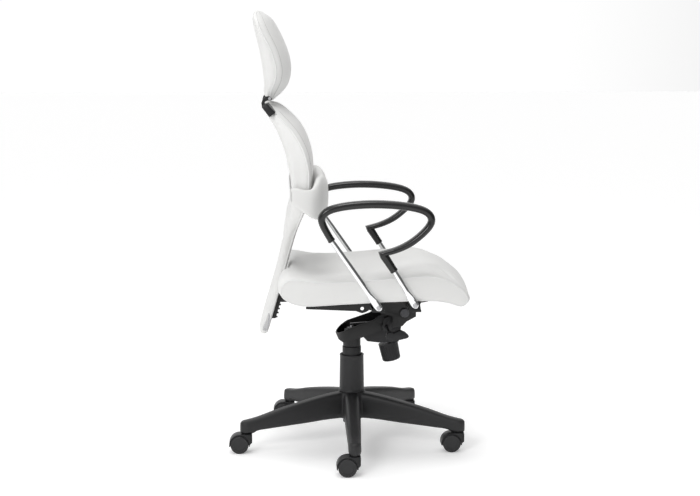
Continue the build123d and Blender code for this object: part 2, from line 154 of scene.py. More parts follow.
def whiteUpholstery():
    paint = Paint("whiteUpholstery", (0.76, 0.76, 0.75), 0.46, Sheen_Weight=0.12,
                  Sheen_Roughness=0.5, Specular_IOR_Level=0.42)
    grain = paint.cells(620)
    pores = paint.noise(1900, 2)
    creases = paint.noise(26, 5, paint.stretched(1.0, 1.7, 0.7))
    drift = paint.noise(5, 3)
    paint.tint(paint.between(drift, 0, 0.5) + (creases > 0.62) * 0.06, (0.68, 0.675, 0.66))
    paint.feed("Roughness", paint.between(grain, 0.56, 0.38) + paint.between(drift, -0.04, 0.04))
    paint.bump(grain * 0.5 + pores * 0.25 + creases * 1.4, 0.0007, 0.55)
    return paint.material


def pipingVinyl():
    paint = Paint("pipingVinyl", (0.78, 0.78, 0.775), 0.40, Specular_IOR_Level=0.45)
    grain = paint.cells(900)
    paint.tint(paint.noise(30, 3) * 0.6, (0.66, 0.66, 0.65))
    paint.feed("Roughness", paint.between(grain, 0.5, 0.34))
    paint.bump(grain, 0.0003, 0.5)
    return paint.material


def seamThread():
    # the sewn line beside the piping, sunk in the cover; its dark grey is painted shade of the sunk
    # seam's groove
    paint = Paint("seamThread", (0.46, 0.46, 0.45), 0.6)
    twist = paint.noise(700, 2)
    paint.tint(twist * 0.7, (0.34, 0.34, 0.33))
    paint.bump(twist, 0.0003, 0.6)
    return paint.material


def mouldedPlastic(name, color, pale, roughness, pebble, depth, gloss=0.32):
    paint = Paint(name, color, roughness, Specular_IOR_Level=gloss)
    grit = paint.noise(pebble, 3)
    cloud = paint.noise(9, 4)
    scuff = paint.noise(70, 6, paint.stretched(0.4, 1.0, 2.2))
    paint.tint(paint.between(cloud, 0.1, 0.5) + (scuff > 0.66) * 0.12, pale)
    paint.feed("Roughness", paint.between(grit, roughness - 0.08, roughness + 0.1)
               + paint.between(cloud, -0.05, 0.05))
    paint.bump(grit + scuff * 0.3, depth, 0.6)
    return paint.material


def chromePlate():
    paint = Paint("chromePlate", (0.88, 0.885, 0.89), 0.07, Metallic=1.0)
    haze = paint.noise(14, 5)
    hairline = paint.noise(260, 3, paint.stretched(1.0, 1.0, 0.08))
    paint.tint(haze * 0.3, (0.78, 0.785, 0.80))
    paint.feed("Roughness", paint.between(haze, 0.03, 0.10) + (hairline > 0.7) * 0.05)
    paint.bump(hairline, 0.00003, 0.3)
    return paint.material


def coatedMetal(name, color, pale, roughness, peel, depth):
    paint = Paint(name, color, roughness, Specular_IOR_Level=0.3, Coat_Roughness=0.35)
    orange = paint.noise(peel, 2)
    cloud = paint.noise(12, 4)
    paint.tint(paint.between(cloud, 0.05, 0.55), pale)
    paint.feed("Roughness", paint.between(orange, roughness - 0.06, roughness + 0.1))
    paint.feed("Coat Weight", paint.between(cloud, 0.02, 0.12))
    paint.bump(orange, depth, 0.5)
    return paint.material


def turnedSteel(name, color, dark, roughness):
    paint = Paint(name, color, roughness, Metallic=1.0)
    lines = paint.noise(420, 4, paint.stretched(0.1, 0.1, 3.0))
    cloud = paint.noise(20, 4)
    paint.tint(lines * 0.4 + cloud * 0.3, dark)
    paint.feed("Roughness", paint.between(lines, roughness - 0.1, roughness + 0.1))
    paint.bump(lines, 0.00008, 0.5)
    return paint.material


def bushPlastic():
    paint = Paint("bushPlastic", (0.62, 0.61, 0.56), 0.4)
    paint.tint(paint.noise(40, 3), (0.5, 0.49, 0.44))
    paint.bump(paint.noise(900, 2), 0.0002)
    return paint.material


def plywoodShell():
    # near black: painted shade of the shell under the seat, over the wood's figure and plies
    paint = Paint("plywoodShell", (0.030, 0.024, 0.020), 0.62)
    figure = paint.noise(14, 6, paint.stretched(0.5, 6.0, 9.0))
    plies = paint.node("ShaderNodeTexWave", {"bands_direction": "Z"},
                       {"Vector": paint.place, "Scale": 180.0, "Distortion": 1.2}, "Fac")
    paint.tint(figure * 0.7 + plies * 0.25, (0.012, 0.010, 0.009))
    paint.feed("Roughness", paint.between(figure, 0.5, 0.75))
    paint.bump(figure + plies * 0.4, 0.0004, 0.6)
    return paint.material


def ribbedElastic():
    paint = Paint("ribbedElastic", (0.78, 0.78, 0.77), 0.8, Sheen_Weight=0.3)
    ribs = paint.node("ShaderNodeTexWave", {"bands_direction": "Z"},
                      {"Vector": paint.place, "Scale": 130.0, "Distortion": 0.2}, "Fac")
    yarn = paint.node("ShaderNodeTexWave", {"bands_direction": "Y"},
                      {"Vector": paint.place, "Scale": 210.0, "Distortion": 0.8}, "Fac")
    paint.tint(ribs * 0.5 + yarn * 0.2, (0.62, 0.62, 0.61))
    paint.bump(ribs + yarn * 0.6, 0.0006, 0.8)
    return paint.material


finish = {
    "white_upholstery": whiteUpholstery(),
    "base_nylon": mouldedPlastic("baseNylon", (0.018, 0.018, 0.019), (0.034, 0.034, 0.035), 0.46,
                                 1500, 0.00025),
    "black_plastic": mouldedPlastic("blackPlastic", (0.010, 0.010, 0.011), (0.022, 0.022, 0.023),
                                    0.40, 1700, 0.0002),
    "wheel_nylon": mouldedPlastic("wheelNylon", (0.020, 0.020, 0.021), (0.036, 0.036, 0.037), 0.36,
                                  1300, 0.00015),
    "arm_plastic": mouldedPlastic("armPlastic", (0.007, 0.007, 0.007), (0.013, 0.013, 0.013), 0.20,
                                  2100, 0.00006, 0.5),
    "chrome_tube": chromePlate(),
    "black_sheet": coatedMetal("blackSheet", (0.009, 0.009, 0.009), (0.018, 0.018, 0.019), 0.42,
                               700, 0.00025),
    "black_casting": coatedMetal("blackCasting", (0.013, 0.013, 0.013), (0.026, 0.026, 0.027), 0.50,
                                 380, 0.0005),
    "dark_steel": turnedSteel("darkSteel", (0.10, 0.10, 0.105), (0.05, 0.05, 0.055), 0.42),
    "bare_steel": turnedSteel("bareSteel", (0.55, 0.55, 0.56), (0.38, 0.38, 0.40), 0.34),
    "bush_plastic": bushPlastic(),
    # the seat shell's near black is painted shade from under the seat
    "plywood": plywoodShell(),
    "grey_core": mouldedPlastic("greyCore", (0.40, 0.40, 0.42), (0.52, 0.52, 0.54), 0.5, 900, 0.0004),
    "grey_elastic": ribbedElastic(),
}
piping = pipingVinyl()
# dark grey cord for the inner seams: painted shade in the sunk seam
threadShade = seamThread()
slotOf = {part["node"]: part["material_slot"] for part in frame["record"]["subparts"]}
for nodeName, nodeObject in nodes.items():
    nodeObject.data.materials.clear()
    nodeObject.data.materials.append(finish[slotOf[nodeName]])
print("materials:", len(finish) + 2)


# mesh helpers
def through(points):
    # smooth curve that passes its points without overshoot: points are (x, y), x rising
    xs, ys = (np.array(column, float) for column in zip(*points))
    steps = np.diff(xs)
    slopes = np.diff(ys) / steps
    tangents = np.zeros(len(xs))
    tangents[0], tangents[-1] = slopes[0], slopes[-1]
    for i in range(1, len(xs) - 1):
        if slopes[i - 1] * slopes[i] > 0:
            a = 2 * steps[i] + steps[i - 1]
            b = steps[i] + 2 * steps[i - 1]
            tangents[i] = (a + b) / (a / slopes[i - 1] + b / slopes[i])

    def at(x):
        x = np.clip(x, xs[0], xs[-1])
        i = np.clip(np.searchsorted(xs, x) - 1, 0, len(steps) - 1)
        t = (x - xs[i]) / steps[i]
        h = steps[i]
        return ((2 * t**3 - 3 * t**2 + 1) * ys[i] + (t**3 - 2 * t**2 + t) * h * tangents[i]
                + (3 * t**2 - 2 * t**3) * ys[i + 1] + (t**3 - t**2) * h * tangents[i + 1])
    return at


def evenly(points, count, closed=False):
    # the same line as points, cut into equal steps
    line = np.array(points, float)
    if closed:
        line = np.vstack([line, line[:1]])
    reach = np.concatenate([[0], np.cumsum(np.linalg.norm(np.diff(line, axis=0), axis=1))])
    marks = np.linspace(0, reach[-1], count, endpoint=not closed)
    return np.stack([np.interp(marks, reach, line[:, k]) for k in range(line.shape[1])], axis=1)


def rounded(points, passes=2, closed=False):
    # corner cutting, which turns a few points into a smooth line
    line = np.array(points, float)
    for _ in range(passes):
        following = np.roll(line, -1, axis=0) if closed else line[1:]
        before = line if closed else line[:-1]
        cut = np.empty((2 * len(before), line.shape[1]))
        cut[0::2] = 0.75 * before + 0.25 * following
        cut[1::2] = 0.25 * before + 0.75 * following
        line = cut if closed else np.vstack([line[:1], cut, line[-1:]])
    return line


def meshObject(name, points, faces, smooth=True):
    mesh = bpy.data.meshes.new(name)
    mesh.from_pydata([tuple(p) for p in points], [], [tuple(f) for f in faces])
    mesh.update()
    box = bmesh.new()
    box.from_mesh(mesh)
    bmesh.ops.recalc_face_normals(box, faces=box.faces)
    box.to_mesh(mesh)
    box.free()
    made = bpy.data.objects.new(name, mesh)
    bpy.context.scene.collection.objects.link(made)
    mesh.polygons.foreach_set("use_smooth", [smooth] * len(mesh.polygons))
    return made


def ringSkin(name, rings):
    # skin over closed rings of equal length; the ends are closed by fans
    count = len(rings[0])
    points = [p for ring in rings for p in ring]
    faces = []
    for i in range(len(rings) - 1):
        for j in range(count):
            k = (j + 1) % count
            faces.append((i * count + j, i * count + k, (i + 1) * count + k, (i + 1) * count + j))
    for first in (0, (len(rings) - 1) * count):
        centre = np.mean([points[first + j] for j in range(count)], axis=0)
        points.append(centre)
        faces += [(first + j, first + (j + 1) % count, len(points) - 1) for j in range(count)]
    return meshObject(name, points, faces)


def sweepLine(name, line, section, sizes):
    # section is a loop of (across, outward) offsets carried along a line that turns in one plane
    line = np.array(line, float)
    across = np.array((0.0, 1.0, 0.0))
    rings = []
    for i, point in enumerate(line):
        back = line[i] - line[i - 1] if i else line[1] - line[0]
        ahead = line[i + 1] - line[i] if i < len(line) - 1 else back
        back, ahead = back / np.linalg.norm(back), ahead / np.linalg.norm(ahead)
        bisector = back + ahead
        bisector /= np.linalg.norm(bisector)
        outward = np.cross(bisector, across)
        outward /= np.linalg.norm(outward)
        outward /= max(bisector @ back, 0.35)  # mitre at a sharp corner
        wide, thick = sizes[i]
        rings.append([point + across * a * wide + outward * b * thick for a, b in section])
    return ringSkin(name, rings)


def oval(wide, thick, count=28, power=2.0):
    loop = []
    for k in range(count):
        angle = 2 * math.pi * k / count
        c, s = math.cos(angle), math.sin(angle)
        loop.append((wide * math.copysign(abs(c) ** (2 / power), c),
                     thick * math.copysign(abs(s) ** (2 / power), s)))
    return loop


def finishPiece(made, body, slotName, replaced=(), material=None, name=None):
    made.name = name or made.name
    made.data.materials.clear()
    made.data.materials.append(material or finish[slotName])
    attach(made, body)
    if replaced:
        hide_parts(*replaced)
    return made


def applyAll(made):
    # bakes the modifiers of an object into its mesh
    shown = made.evaluated_get(bpy.context.evaluated_depsgraph_get())
    mesh = bpy.data.meshes.new_from_object(shown)
    made.modifiers.clear()
    made.data = mesh
    return made


def tube(name, line, radius, count=12):
    # round cord along any line in space, with closed ends
    line = np.array(line, float)
    normal = None
    rings = []
    for i in range(len(line)):
        ahead = line[min(i + 1, len(line) - 1)] - line[max(i - 1, 0)]
        ahead /= np.linalg.norm(ahead)
        if normal is None:
            normal = np.cross(ahead, (0.3, 0.9, 0.1))
        normal = normal - ahead * (normal @ ahead)
        normal /= np.linalg.norm(normal)
        side = np.cross(ahead, normal)
        turn = [2 * math.pi * k / count for k in range(count)]
        rings.append([line[i] + radius * (normal * math.cos(a) + side * math.sin(a)) for a in turn])
    return ringSkin(name, rings)


def hoop(name, line, radius, count=10):
    # round cord along a closed line
    line = np.array(line, float)
    points, faces = [], []
    total = len(line)
    for i in range(total):
        ahead = line[(i + 1) % total] - line[i - 1]
        ahead /= np.linalg.norm(ahead)
        normal = np.cross(ahead, (0.0, 1.0, 0.0))
        normal /= max(np.linalg.norm(normal), 1e-9)
        side = np.cross(ahead, normal)
        for k in range(count):
            a = 2 * math.pi * k / count
            points.append(line[i] + radius * (normal * math.cos(a) + side * math.sin(a)))
            following = (i + 1) % total * count
            faces.append((i * count + k, i * count + (k + 1) % count,
                          following + (k + 1) % count, following + k))
    return meshObject(name, points, faces)


def softened(nodeName, width):
    # the CAD node's shape with its sharp edges eased, as a moulded or stamped piece has them
    made = bpy.data.objects.new(nodeName + "_eased", nodes[nodeName].data.copy())
    bpy.context.scene.collection.objects.link(made)
    work = bmesh.new()
    work.from_mesh(made.data)
    bmesh.ops.remove_doubles(work, verts=work.verts, dist=1e-6)
    bmesh.ops.dissolve_limit(work, angle_limit=math.radians(1.0), verts=work.verts, edges=work.edges)
    work.to_mesh(made.data)
    work.free()
    bevel = made.modifiers.new("ease", "BEVEL")
    bevel.width = width
    bevel.segments = 2
    bevel.limit_method = "ANGLE"
    bevel.angle_limit = math.radians(32)
    applyAll(made)
    made.data.polygons.foreach_set("use_smooth", [True] * len(made.data.polygons))
    made.data.set_sharp_from_angle(angle=math.radians(36))
    body = nodes[nodeName].parent.name.split(":", 1)[1]
    return finishPiece(made, body, slotOf[nodeName], [nodeName])


# cloth
clothWork = {"voxel": 0.0055, "frames": 20, "pressure": 4.0, "quality": 5}


def puffed(made, seams, cap, hold=0.006, voxel=clothWork["voxel"]):
    # remeshed and blown up a little between its seams, no point moving further than cap
    remesh = made.modifiers.new("even", "REMESH")
    remesh.mode = "VOXEL"
    remesh.voxel_size = voxel
    applyAll(made)
    relax = made.modifiers.new("relax", "SMOOTH")
    relax.factor = 0.5
    relax.iterations = 4
    applyAll(made)
    tree = KDTree(sum(len(line) for line in seams))
    index = 0
    for line in seams:
        for point in line:
            tree.insert(Vector(point), index)
            index += 1
    tree.balance()
    start = np.array([v.co for v in made.data.vertices])
    held = made.vertex_groups.new(name="held")
    for vertex in made.data.vertices:
        if tree.find(vertex.co)[2] < hold:
            held.add([vertex.index], 1.0, "REPLACE")
    cloth = made.modifiers.new("stuffing", "CLOTH")
    cloth.settings.quality = clothWork["quality"]
    cloth.settings.mass = 0.3
    cloth.settings.tension_stiffness = 18
    cloth.settings.compression_stiffness = 18
    cloth.settings.bending_stiffness = 0.6
    cloth.settings.use_pressure = True
    cloth.settings.uniform_pressure_force = clothWork["pressure"]
    cloth.settings.effector_weights.gravity = 0
    cloth.settings.vertex_group_mass = "held"
    scene = bpy.context.scene
    for number in range(1, clothWork["frames"] + 1):
        scene.frame_set(number)
    shown = made.evaluated_get(bpy.context.evaluated_depsgraph_get())
    blown = np.array([v.co for v in shown.data.vertices])
    move = blown - start
    reach = np.linalg.norm(move, axis=1, keepdims=True)
    shrink = cap * np.tanh(reach / cap) / np.maximum(reach, 1e-9)
    made.modifiers.clear()
    made.vertex_groups.clear()
    made.data.vertices.foreach_set("co", (start + move * shrink).ravel())
    made.data.update()
    scene.frame_set(1)
    settle = made.modifiers.new("settle", "SMOOTH")
    settle.factor = 0.4
    settle.iterations = 2
    applyAll(made)
    finer = made.modifiers.new("finer", "SUBSURF")
    finer.levels = 1
    finer.render_levels = 1
    applyAll(made)
    made.data.polygons.foreach_set("use_smooth", [True] * len(made.data.polygons))
    return made


def onSurface(made, line, lift):
    # line moved onto a piece's surface, standing out by lift
    work = bmesh.new()
    work.from_mesh(made.data)
    tree = BVHTree.FromBMesh(work)
    placed = []
    for point in line:
        spot, normal, _, _ = tree.find_nearest(Vector(point))
        placed.append(np.array(spot + normal * lift))
    work.free()
    return np.array(placed)


def relaxedLine(line, passes=2, closed=False):
    line = np.array(line)
    for _ in range(passes):
        smooth = 0.5 * line + 0.25 * (np.roll(line, 1, axis=0) + np.roll(line, -1, axis=0))
        if not closed:
            smooth[0], smooth[-1] = line[0], line[-1]
        line = smooth
    return line


# leaf-shaped pads: the back and the headrest
# every profile is (height, depth) in metres, seen from the side; half is (height, half width)
# between strapLow and strapHigh the back's rear stays flat for the lumbar pad's strap
back = {
    "rear": [(0.331, -0.2600), (0.345, -0.2590), (0.373, -0.2520), (0.414, -0.2395),
             (0.464, -0.2235), (0.516, -0.208), (0.577, -0.195), (0.628, -0.1835), (0.669, -0.176),
             (0.700, -0.172), (0.761, -0.171), (0.804, -0.174), (0.837, -0.180), (0.872, -0.191),
             (0.907, -0.206), (0.941, -0.227), (0.962, -0.241), (0.972, -0.246)],
    "seam": [(0.331, -0.242), (0.441, -0.2105), (0.516, -0.189), (0.600, -0.166), (0.664, -0.149),
             (0.700, -0.137), (0.740, -0.127), (0.791, -0.124), (0.811, -0.127), (0.837, -0.133),
             (0.864, -0.143), (0.887, -0.156), (0.907, -0.171), (0.927, -0.190), (0.950, -0.213),
             (0.972, -0.233)],
    "crown": [(0.331, -0.2375), (0.441, -0.2055), (0.508, -0.186), (0.570, -0.168), (0.664, -0.1415),
              (0.700, -0.126), (0.740, -0.1155), (0.775, -0.112), (0.815, -0.109), (0.842, -0.111),
              (0.863, -0.117), (0.887, -0.126), (0.908, -0.136), (0.929, -0.152), (0.943, -0.168),
              (0.961, -0.187), (0.972, -0.205)],
    "half": [(0.331, 0.0445), (0.560, 0.0475), (0.580, 0.053), (0.600, 0.066), (0.620, 0.088),
             (0.650, 0.148), (0.675, 0.184), (0.700, 0.203), (0.740, 0.213), (0.800, 0.214),
             (0.870, 0.199), (0.905, 0.184), (0.940, 0.163), (0.960, 0.143), (0.972, 0.118)],
    "strip": 0.012, "slices": 84, "cap": 0.005, "piping": 0.0022, "stitch": 0.0008,
    "topLift": 0.2,  # the headrest tilts forward over this end
    "strapLow": 0.698, "strapHigh": 0.774, "strapBlend": 0.04, "strapRelief": 0.007,
}
head = {
    "rear": [(0.984, -0.234), (0.994, -0.240), (1.019, -0.236), (1.065, -0.240), (1.113, -0.248),
             (1.148, -0.256), (1.189, -0.266), (1.206, -0.270), (1.216, -0.266)],
    "seam": [(0.984, -0.227), (0.994, -0.2265), (1.011, -0.222), (1.032, -0.212), (1.059, -0.208),
             (1.086, -0.213), (1.124, -0.226), (1.158, -0.245), (1.196, -0.259), (1.216, -0.262)],
    "crown": [(0.984, -0.215), (0.995, -0.200), (1.015, -0.181), (1.034, -0.172), (1.068, -0.167),
              (1.101, -0.172), (1.140, -0.186), (1.179, -0.205), (1.198, -0.217), (1.211, -0.232),
              (1.216, -0.242)],
    "half": [(0.984, 0.104), (1.000, 0.121), (1.040, 0.138), (1.080, 0.144), (1.140, 0.144),
             (1.180, 0.136), (1.205, 0.116), (1.216, 0.096)],
    "strip": 0.011, "slices": 46, "cap": 0.005, "piping": 0.0020, "stitch": 0.0007,
    "topLift": 1.0,
}


def leafPad(name, plan):
    rear, seam, crown, half = (through(plan[key]) for key in ("rear", "seam", "crown", "half"))
    low, high = plan["rear"][0][0], plan["rear"][-1][0]
    rings, seams = [], {"near": [], "far": [], "nearInner": [], "farInner": []}

    def section(z, share):
        # share shrinks the slice towards its middle, which rounds the ends
        r, s, c, w = float(rear(z)), float(seam(z)), float(crown(z)), float(half(z))
        middle = (r + s) / 2
        ease = min(0.005, (s - r) * 0.3)
        strip = min(plan["strip"], w * 0.22)
        edge = [(r - 0.0015, 0.0), (r - 0.001, 0.4 * w), (r, 0.8 * w), (r + 0.0005, w - 2 * ease),
                (r + ease * 0.3, w - ease * 0.5), (r + ease, w + 0.0004)]
        edge += [(r + ease + (s - r - ease) * t, w + 0.0022 * math.sin(math.pi * t))
                 for t in (0.2, 0.4, 0.6, 0.8)]
        edge += [(s, w - 0.0006), (s + (c - s) * 0.18 + 0.002, w - strip * 0.35),
                 (s + (c - s) * 0.34 + 0.002, w - strip)]
        start = edge[-1]
        for t in (0.12, 0.26, 0.42, 0.6, 0.8, 1.0):
            y = start[1] * (1 - t)
            bow = (1 - (y / start[1]) ** 2.3) ** 0.75
            edge.append((start[0] + (c - start[0]) * bow, y))
        loop = edge + [(x, -y) for x, y in reversed(edge[1:-1])]
        return [np.array((middle + (x - middle) * share, y * (0.55 + 0.45 * share), z))
                for x, y in loop]

    slices = np.linspace(low, high, plan["slices"])
    for share, drop in ((0.35, 0.006), (0.72, 0.0045), (0.92, 0.002)):
        rings.append([p - np.array((0.0, 0.0, drop)) for p in section(low, share)])
    for z in slices:
        rings.append(section(z, 1.0))
        s, c, w = float(seam(z)), float(crown(z)), float(half(z))
        strip = min(plan["strip"], w * 0.22)
        seams["near"].append((s, -w, z))
        seams["far"].append((s, w, z))
        seams["nearInner"].append((s + (c - s) * 0.34 + 0.002, -(w - strip), z))
        seams["farInner"].append((s + (c - s) * 0.34 + 0.002, w - strip, z))
    for share, lift in ((0.92, 0.002), (0.72, 0.0042), (0.35, 0.0055)):
        rings.append([p + np.array((0.0, 0.0, lift * plan["topLift"])) for p in section(high, share)])
    return ringSkin(name, rings), seams


def pipeSeams(made, seams, prefix, body, radius, keys, material, lift):
    for key in keys:
        line = relaxedLine(onSurface(made, relaxedLine(seams[key]), lift))
        finishPiece(tube(prefix + "_" + key, evenly(line, 160), radius, 8), body, "white_upholstery",
                    material=material)


backPad, backSeams = leafPad("backPad", back)
puffed(backPad, list(backSeams.values()), back["cap"])
rearLimit = through(back["rear"])
for vertex in backPad.data.vertices:
    height = vertex.co.z
    away = max(0.0, back["strapLow"] - height, height - back["strapHigh"]) / back["strapBlend"]
    if away < 1:
        limit = float(rearLimit(height)) + 0.0002 - back["strapRelief"] * away ** 1.5
        vertex.co.x = max(vertex.co.x, limit)
finishPiece(backPad, "back", "white_upholstery", ["back_cushion"])
outer, inner = ("near", "far"), ("nearInner", "farInner")
pipeSeams(backPad, backSeams, "backPiping", "back", back["piping"], outer, piping, 0.0004)
# inner seams: a real seam line, coloured dark grey as painted shade of its groove
pipeSeams(backPad, backSeams, "backStitch", "back", back["stitch"], inner, threadShade, 0.0)

headPad, headSeams = leafPad("headrestPad", head)
puffed(headPad, list(headSeams.values()), head["cap"], voxel=0.0045)
finishPiece(headPad, "headrest", "white_upholstery", ["headrest_cushion"])
pipeSeams(headPad, headSeams, "headPiping", "headrest", head["piping"], outer, piping, 0.0004)
# inner seams of the headrest: dark grey cord as painted shade of the sunk seam
pipeSeams(headPad, headSeams, "headStitch", "headrest", head["stitch"], inner, threadShade, 0.0)
print("back and headrest made")

# seat cushion: a cover that wraps front, top and rear, and two side panels
seat = {
    "seam": [(-0.194, 0.504), (-0.182, 0.515), (-0.158, 0.517), (-0.113, 0.507), (-0.049, 0.506),
             (0.047, 0.513), (0.144, 0.520), (0.192, 0.523), (0.225, 0.517), (0.255, 0.503),
             (0.280, 0.486), (0.294, 0.470), (0.298, 0.456), (0.291, 0.444), (0.279, 0.439),
             (0.264, 0.444), (0.244, 0.451), (0.208, 0.457), (0.146, 0.457), (0.064, 0.454),
             (-0.017, 0.450), (-0.098, 0.446), (-0.135, 0.444), (-0.160, 0.447), (-0.184, 0.457),
             (-0.198, 0.467), (-0.202, 0.480), (-0.201, 0.492)],
    "half": 0.249, "roll": 0.009, "rollWidth": 0.014, "dish": 0.015, "bow": 0.016,
    "outline": 170, "stations": 56, "cap": 0.006, "piping": 0.0018,
}


def spineFront(z):
    # front face of the spine, in the side view
    return -0.2055 + 0.29 * (z - 0.441)


def seatCushion():
    seam = evenly(rounded(seat["seam"], 2, True), seat["outline"], True)
    ahead = np.roll(seam, -1, axis=0) - np.roll(seam, 1, axis=0)
    outward = np.stack([-ahead[:, 1], ahead[:, 0]], axis=1)
    outward /= np.linalg.norm(outward, axis=1, keepdims=True)
    centre = seam.mean(axis=0)
    half, rollWidth = seat["half"], seat["rollWidth"]
    ys = [-half] + list(-half + rollWidth * (1 - np.cos(np.linspace(0, math.pi / 2, 6)))[1:])
    inner = np.linspace(-half + rollWidth, half - rollWidth, seat["stations"])
    stations = ys + list(inner[1:-1]) + [-y for y in reversed(ys)]
    rings = []
    for share in (0.35, 0.7, 0.9, 0.975):
        ring = centre + (seam - centre) * share
        bulge = 0.004 * (1 - share ** 4)
        rings.append([(x, -half - bulge, z) for x, z in ring])
    for y in stations:
        edge = min(1.0, (half - abs(y)) / rollWidth)
        roll = seat["roll"] * math.sin(math.acos(1 - edge)) if edge < 1 else seat["roll"]
        lie = max(0.0, 1 - (abs(y) / 0.215) ** 2)
        ring = []
        for (x, z), (nx, nz) in zip(seam, outward):
            grow = roll * (1.0 if nz > -0.3 else 0.35)
            px, pz = x + nx * grow, z + nz * grow
            if nz > 0.2:
                rear = min(1.0, max(0.0, (0.16 - x) / 0.12)) * min(1.0, max(0.0, (x + 0.19) / 0.05))
                front = math.exp(-((x - 0.215) / 0.06) ** 2)
                pz += nz * (-seat["dish"] * rear * lie ** 1.3 + 0.007 * front * lie)
            if nx > 0.1 and x > 0.15:
                px += seat["bow"] * lie * nx
            if nz < -0.5 and -0.165 < x < 0.235:
                pz = min(pz, 0.4445 + (pz - 0.4445) * (1 - min(1.0, lie * 3)))
            limit = spineFront(pz) + 0.005
            near = min(1.0, max(0.0, (0.084 - abs(y)) / 0.02))
            if x < -0.1 and px < limit:
                px += (limit - px) * near
            if abs(y) < 0.030 and pz < 0.488 and px < -0.171:
                px = -0.171
            ring.append((px, y, pz))
        rings.append(ring)
    for share in (0.975, 0.9, 0.7, 0.35):
        ring = centre + (seam - centre) * share
        bulge = 0.004 * (1 - share ** 4)
        rings.append([(x, half + bulge, z) for x, z in ring])
    lines = [[(x, side * half, z) for x, z in seam] for side in (-1, 1)]
    return ringSkin("seatCushion", rings), lines


seatPad, seatSeams = seatCushion()
puffed(seatPad, seatSeams, seat["cap"], hold=0.005)
finishPiece(seatPad, "seat", "white_upholstery", ["seat_cushion"])
for label, line in zip(("right", "left"), seatSeams):
    snapped = relaxedLine(onSurface(seatPad, line, 0.0), 2, True)
    finishPiece(hoop("seatPiping_" + label, snapped, seat["piping"]), "seat", "white_upholstery",
                material=piping)
print("seat made")

# lumbar pad: front cushion with two wings that run round the back's edges
lumbar = {
    # plan of the middle line (x, y), then low, high and thickness at each point
    "line": [(-0.1735, 0.2250, 0.713, 0.761, 0.010), (-0.152, 0.2255, 0.698, 0.758, 0.011),
             (-0.132, 0.2265, 0.683, 0.752, 0.011), (-0.1155, 0.2250, 0.673, 0.755, 0.014),
             (-0.1020, 0.2115, 0.668, 0.776, 0.024), (-0.0955, 0.188, 0.668, 0.785, 0.031),
             (-0.0905, 0.140, 0.670, 0.785, 0.034), (-0.0880, 0.070, 0.671, 0.782, 0.032),
             (-0.0875, 0.0, 0.671, 0.780, 0.031)],
    "cap": 0.003, "stations": 90, "around": 40,
}


def lumbarCushion():
    half = lumbar["line"]
    full = [(x, -y, *rest) for x, y, *rest in half] + [row for row in reversed(half[:-1])]
    line = evenly(rounded(full, 2), lumbar["stations"])
    rings = []
    last = len(line) - 1
    loop = oval(1, 1, lumbar["around"], 2.7)
    for i, (x, y, low, high, thick) in enumerate(line):
        ahead = line[min(i + 1, last)][:2] - line[max(i - 1, 0)][:2]
        ahead /= np.linalg.norm(ahead)
        out = np.array((ahead[1], -ahead[0]))
        middle, tall = (low + high) / 2, (high - low) / 2
        rings.append([(x + out[0] * b * thick / 2, y + out[1] * b * thick / 2, middle + a * tall)
                      for a, b in loop])
    return ringSkin("lumbarCushion", rings)


lumbarPad = lumbarCushion()
puffed(lumbarPad, [[(-0.1735, side * 0.2250, z) for z in np.linspace(0.71, 0.765, 12)]
                   for side in (-1, 1)], lumbar["cap"], voxel=0.0042)
finishPiece(lumbarPad, "lumbar", "white_upholstery", ["lumbar_pad"])
print("lumbar pad made")

# ribbed insert at the foot of the spine
insert = {
    "outline": [(-0.2345, 0.391), (-0.2365, 0.384), (-0.2480, 0.356), (-0.2535, 0.339),
                (-0.2410, 0.336), (-0.2345, 0.358), (-0.2315, 0.374)],
    "plane": 0.0462, "ribs": 5,
}


def spineInsert(side, label):
    y = side * insert["plane"]
    outline = evenly(rounded(insert["outline"], 2, True), 48, True)
    centre = outline.mean(axis=0)
    rings = []
    for share, lift in ((1.0, -0.004), (1.0, 0.0), (0.93, 0.0006), (0.5, 0.0007)):
        ring = centre + (outline - centre) * share
        rings.append([(x, y + side * lift, z) for x, z in ring])
    finishPiece(ringSkin("spineInsert_" + label, rings), "back", "grey_elastic",
                material=finish["grey_core"])
    apex = np.array(insert["outline"][0])
    for k in range(insert["ribs"]):
        foot = np.array((-0.2525 + 0.0028 * k, 0.3385 - 0.0004 * k))
        along = np.linspace(0.12 + 0.05 * abs(k - 2), 0.98, 14)
        line = [tuple(apex + (foot - apex) * t) for t in along]
        rib = tube("insertRib", [(x, y + side * 0.0004, z) for x, z in line], 0.0007, 6)
        finishPiece(rib, "back", "grey_elastic")


for side, label in ((1, "left"), (-1, "right")):
    spineInsert(side, label)

# arms
arm = {
    "plane": 0.260,
    "route": [(-0.067, 0.621), (-0.0825, 0.647), (-0.0925, 0.668), (-0.0945, 0.684), (-0.080, 0.6995),
              (-0.052, 0.709), (-0.010, 0.715), (0.040, 0.7175), (0.092, 0.7155), (0.141, 0.7095),
              (0.175, 0.7005), (0.193, 0.687), (0.1965, 0.670), (0.186, 0.652), (0.162, 0.629),
              (0.134, 0.609), (0.101, 0.5945), (0.067, 0.586)],
    "wide": 0.0165, "sleeveEnd": (0.0975, 0.5395),
}


